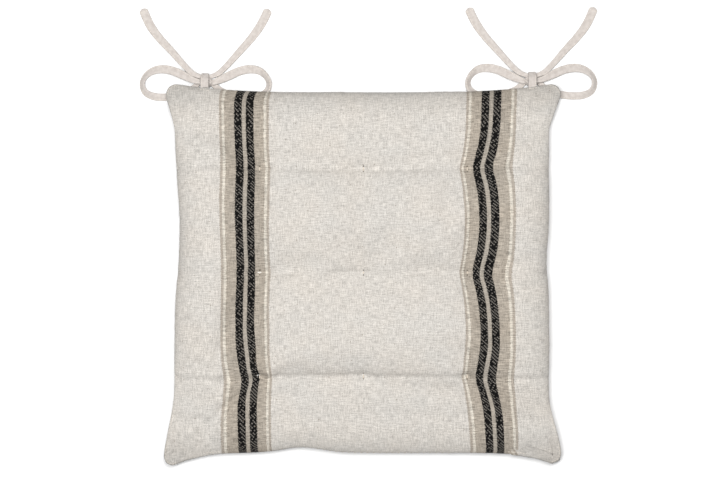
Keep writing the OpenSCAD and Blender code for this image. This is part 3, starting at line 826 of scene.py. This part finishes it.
nep_size = add(tree, "ShaderNodeMath", {"operation": "MULTIPLY"}, {0: nep_chance, 1: 0.075})
nep_size = add(tree, "ShaderNodeMath", {"operation": "SUBTRACT"}, {0: nep_size, 1: 0.02})
nep = add(tree, "ShaderNodeMath", {"operation": "LESS_THAN"}, {0: (nep_cells, "Distance"), 1: nep_size})
nep = add(tree, "ShaderNodeMath", {"operation": "MULTIPLY"}, {0: nep, 1: 0.5})
cloth_colour = add(tree, "ShaderNodeMix", {"data_type": "RGBA"},
                   {0: nep, "A": cloth_colour, "B": linear("6B5A49")})

# The needle holes of the tufts are painted dark, as painted shade in the holes, and towards the front and
# back seams, where the cloth turns down, painted shade makes it a little greyer.
hole_r, hole_edge_r = 0.4 * MM, 0.9 * MM
edge_shade_reach = 45 * MM
on_cloth = add(tree, "ShaderNodeAttribute", {"attribute_name": "cut_place"}, {})
round_tuft = add(tree, "ShaderNodeVectorMath", {"operation": "WRAP"},
                 {0: (on_cloth, "Vector"), 1: (cut_tufts[0] / 2, cut_tufts[1] / 2, 1),
                  2: (-cut_tufts[0] / 2, -cut_tufts[1] / 2, -1)})
round_tuft = add(tree, "ShaderNodeVectorMath", {"operation": "ABSOLUTE"}, {0: round_tuft})
from_hole = add(tree, "ShaderNodeVectorMath", {"operation": "DISTANCE"},
                {0: round_tuft, 1: (0, tuft_stitch / 2, 0)})
# Painted shade: the cloth around each needle hole is coloured dark in place of the shade inside the hole.
hole_shade = add(tree, "ShaderNodeMapRange", {},
           {0: (from_hole, "Value"), 1: hole_r, 2: hole_edge_r, 3: 0.75, 4: 0.0})
cloth_colour = add(tree, "ShaderNodeMix", {"data_type": "RGBA"},
                   {0: hole_shade, "A": (cloth_colour, "Result"), "B": linear("3A332C")})
off_middle = add(tree, "ShaderNodeVectorMath", {"operation": "ABSOLUTE"}, {0: (on_cloth, "Vector")})
off_middle = add(tree, "ShaderNodeSeparateXYZ", {}, {0: off_middle})
# Painted shade: the cloth is coloured greyer towards the front and back seams, in place of the shade where
# it turns down.
painted_edge_shade = add(tree, "ShaderNodeMapRange", {"interpolation_type": "SMOOTHSTEP"},
                  {0: (off_middle, "Y"), 1: cut_d / 2 - edge_shade_reach, 2: cut_d / 2, 3: 1.0, 4: 0.77})
cloth_colour = add(tree, "ShaderNodeVectorMath", {"operation": "SCALE"},
                   {0: (cloth_colour, "Result"), "Scale": painted_edge_shade})
tree.links.new(cloth_colour.outputs[0], shader.inputs["Base Color"])
bump = add(tree, "ShaderNodeBump", {}, {"Height": yarns, "Strength": 0.6, "Distance": 0.25 * MM})
tree.links.new(bump.outputs[0], shader.inputs["Normal"])
shader.inputs["Roughness"].default_value = 0.95
shader.inputs["Specular IOR Level"].default_value = 0.1
shader.inputs["Sheen Weight"].default_value = 0.05

top_cover = panel("top_cover", top_points, 1)
bottom_cover = panel("bottom_cover", bottom_points, -1)
for piece, node in ((top_cover, "top_panel"), (bottom_cover, "bottom_panel")):
    piece.data.materials.append(slub_cotton)
    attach(piece, "pad")
    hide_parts(node)


# ---- Filling ----
# Loose polyester fibre, teased and packed by hand into the cover. It fills the cells between
# the tufts and thins out towards the seam.

# It stops seven rows of the cover's grid short of the seam, and fills six tenths of the height.
clear_rows = 7
slack = 0.6
inner = (slice(clear_rows, -clear_rows), slice(clear_rows, -clear_rows))
wad_top = (top_points[inner] - [0, 0, seam_z]) * [1, 1, slack] + [0, 0, seam_z]
wad_bottom = (bottom_points[inner] - [0, 0, seam_z]) * [1, 1, slack] + [0, 0, seam_z]
wad_ids = np.arange(wad_top.shape[0] * wad_top.shape[1]).reshape(wad_top.shape[:2])
top_edge, bottom_edge = rim_loop(wad_ids), rim_loop(wad_ids + wad_ids.size)
wall = np.stack([top_edge, bottom_edge, np.roll(bottom_edge, -1), np.roll(top_edge, -1)], -1)
mesh = bpy.data.meshes.new("fibre_filling")
mesh.from_pydata(np.vstack([wad_top.reshape(-1, 3), wad_bottom.reshape(-1, 3)]).tolist(), [],
                 grid_faces(wad_ids, True) + grid_faces(wad_ids + wad_ids.size, False) + wall.tolist())
filling = placed("fibre_filling", mesh)
smoothed(mesh)

# Hollow polyester fibre: white, springy, with fine crimped strands that catch the light.
fibre, tree, shader = new_material("polyester fibre")
place = add(tree, "ShaderNodeTexCoord", {}, {})
clumps = add(tree, "ShaderNodeTexNoise", {}, {"Vector": (place, "Object"), "Scale": 60.0, "Detail": 6.0,
                                              "Distortion": 2.5})
tint = add(tree, "ShaderNodeMix", {"data_type": "RGBA"},
           {0: clumps, "A": linear("E3E3E0"), "B": linear("FAFAF8")})
tree.links.new(tint.outputs["Result"], shader.inputs["Base Color"])
bump = add(tree, "ShaderNodeBump", {}, {"Height": clumps, "Strength": 0.8, "Distance": 2 * MM})
tree.links.new(bump.outputs[0], shader.inputs["Normal"])
shader.inputs["Roughness"].default_value = 0.8
shader.inputs["Sheen Weight"].default_value = 0.4
mesh.materials.append(fibre)
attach(filling, "pad")
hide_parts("filling")


# ---- Tufts ----
# Nine separate stitches of heavy thread hold top and bottom together. Each goes down one hole
# and up the next, and is tied off underneath in a knot with two short tails.

# Waxed cotton twine: three plies, dull and slightly darker than the cloth.
tuft_cord, tree, shader = new_material("waxed cotton twine")
place = add(tree, "ShaderNodeTexCoord", {}, {})
grime = add(tree, "ShaderNodeTexNoise", {}, {"Vector": (place, "Object"), "Scale": 900.0, "Detail": 3.0})
tint = add(tree, "ShaderNodeMix", {"data_type": "RGBA"},
           {0: grime, "A": linear("B9AA96"), "B": linear("E0D6C8")})
tree.links.new(tint.outputs["Result"], shader.inputs["Base Color"])
bump = add(tree, "ShaderNodeBump", {}, {"Height": grime, "Strength": 0.4, "Distance": 0.1 * MM})
tree.links.new(bump.outputs[0], shader.inputs["Normal"])
shader.inputs["Roughness"].default_value = 0.7

tuft_thread_r = 0.55 * MM
plies, ply_turn = 3, 3.2 * MM


def surface_height(piece, x, y, downward):
    """Where a vertical line first meets the piece, from above or from below."""
    heading = Vector((0, 0, -1 if downward else 1))
    hit, point, _, _ = piece.ray_cast(Vector((x, y, seam_z)) - heading * 0.1, heading)
    return point.z if hit else seam_z


def twisted(name, points, radius):
    """Sweeps a three-ply twisted thread along a smooth path."""
    path = smooth_path(np.array(points), 0.5 * MM)
    tangent = np.gradient(path, axis=0)
    tangent /= np.linalg.norm(tangent, axis=1)[:, None]
    run = run_along(path)
    sides = 4 * plies
    vertices, last = [], np.array([1.0, 0.1, 0.0])
    for point, t, s in zip(path, tangent, run):
        last = unit(last - (last @ t) * t)
        other = np.cross(t, last)
        for k in range(sides):
            angle = 2 * math.pi * k / sides
            r = radius * (0.86 + 0.14 * math.cos(plies * angle))
            angle += 2 * math.pi * s / (plies * ply_turn)
            vertices.append(point + r * (math.cos(angle) * last + math.sin(angle) * other))
    faces = tube_faces(len(path), sides)
    faces += [tuple(range(sides))[::-1], tuple(range(len(vertices) - sides, len(vertices)))]
    mesh = bpy.data.meshes.new(name)
    mesh.from_pydata([tuple(v) for v in vertices], [], faces)
    smoothed(mesh)
    return placed(name, mesh)


# One tail's points, in millimetres: across and back from the tuft, and up from the seat.
tail = [(9, -6, 0.9), (6, -4.6, 0.9), (3.5, -2.6, 1.4)]
half = tuft_stitch / 2
lift = tuft_thread_r * 0.4
knot = tuft_thread_r * 1.3
for row, y in (("front", -tuft_pitch), ("middle", 0), ("back", tuft_pitch)):
    for column, x in (("left", -tuft_pitch), ("centre", 0), ("right", tuft_pitch)):
        over = surface_height(top_cover, x, y, True)
        under = surface_height(bottom_cover, x, y, False)
        low = max(under - 1.2 * MM, 1.5 * MM)
        tail_a = [(x + a * MM, y + b * MM, c * MM) for a, b, c in tail]
        tail_b = [(x - a * MM, y - 0.8 * b * MM, c * MM) for a, b, c in reversed(tail)]
        points = tail_a + [
            (x + knot, y - 1.0 * MM, low), (x - knot, y + 0.6 * MM, low + knot),
            (x - knot, y - 1.6 * MM, low),
            (x + 0.4 * knot, y - half * 0.9, under + 0.8 * MM),
            (x, y - half, (over + under) / 2), (x, y - half, over - 1.4 * MM),
            (x, y - half * 0.8, over + lift * 0.4), (x, y - half * 0.35, over + lift),
            (x, y + half * 0.35, over + lift), (x, y + half * 0.8, over + lift * 0.4),
            (x, y + half, over - 1.4 * MM), (x, y + half, (over + under) / 2),
            (x - 0.4 * knot, y + half * 0.9, under + 0.8 * MM),
            (x + knot, y + 1.2 * MM, low), (x + knot, y - 0.6 * MM, low + knot),
            (x - knot, y + 1.0 * MM, low)
        ] + tail_b
        name = f"tuft_{row}_{column}"
        piece = twisted(name + "_thread", points, tuft_thread_r)
        piece.data.materials.append(tuft_cord)
        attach(piece, "pad")
        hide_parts(name)


# ---- Seam ----
# A lockstitch runs round inside the seam: the needle thread lies on the top panel's allowance
# and the bobbin thread on the bottom one's. The gap that the filling went in through is closed
# by hand along the front edge.

# Pitch, stitch length and thread of each kind of stitch, and how far a stitch slants.
lockstitch = (3 * MM, 2.6 * MM, 0.4 * MM)
hand_stitch, hand_slant = (6 * MM, 3.4 * MM, 0.5 * MM), 0.9
tack_stitch, tack_slant = (1.4 * MM, 1.9 * MM, 0.4 * MM), 0.5
seam_inset = 2.2 * MM
seam_edge = rim_loop(top_ids)
seam_points = top_points.reshape(-1, 3)[seam_edge] * [1, 1, 0]
for name, node, side in (("needle_thread", "seam_needle_thread", 1),
                         ("bobbin_thread", "seam_bobbin_thread", -1)):
    line = seam_points + inward_from(seam_points) * seam_inset
    line[:, 2] = seam_z + side * (cloth_t + 0.2 * MM + tie_gap(seam_points))
    piece = stitches(name, [line], *lockstitch, sewing_thread, closed=True)
    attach(piece, "pad")
    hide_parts(node)

low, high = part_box("closing_stitches")
front = [p for p in seam_points
         if p[1] < 0 and low.x <= p[0] <= high.x and abs(p[0]) < pad_high.x - 10 * MM]
front = sorted(front, key=lambda p: p[0])
line = [(p[0], p[1] - 0.15 * MM, seam_z) for p in front]
piece = stitches("closing_hand_stitches", [line], *hand_stitch, sewing_thread, slant=hand_slant)
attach(piece, "pad")
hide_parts("closing_stitches")

for tie in ("left_tie", "right_tie"):
    low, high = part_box(tie + "_bartack")
    bars = [[(x, y, z) for x in np.linspace(low.x, high.x, 7)]
            for z in (low.z, high.z) for y in np.linspace(low.y, high.y, 4)]
    piece = stitches(tie + "_bartack_thread", bars, *tack_stitch, sewing_thread, slant=tack_slant)
    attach(piece, "pad")
    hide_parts(tie + "_bartack")
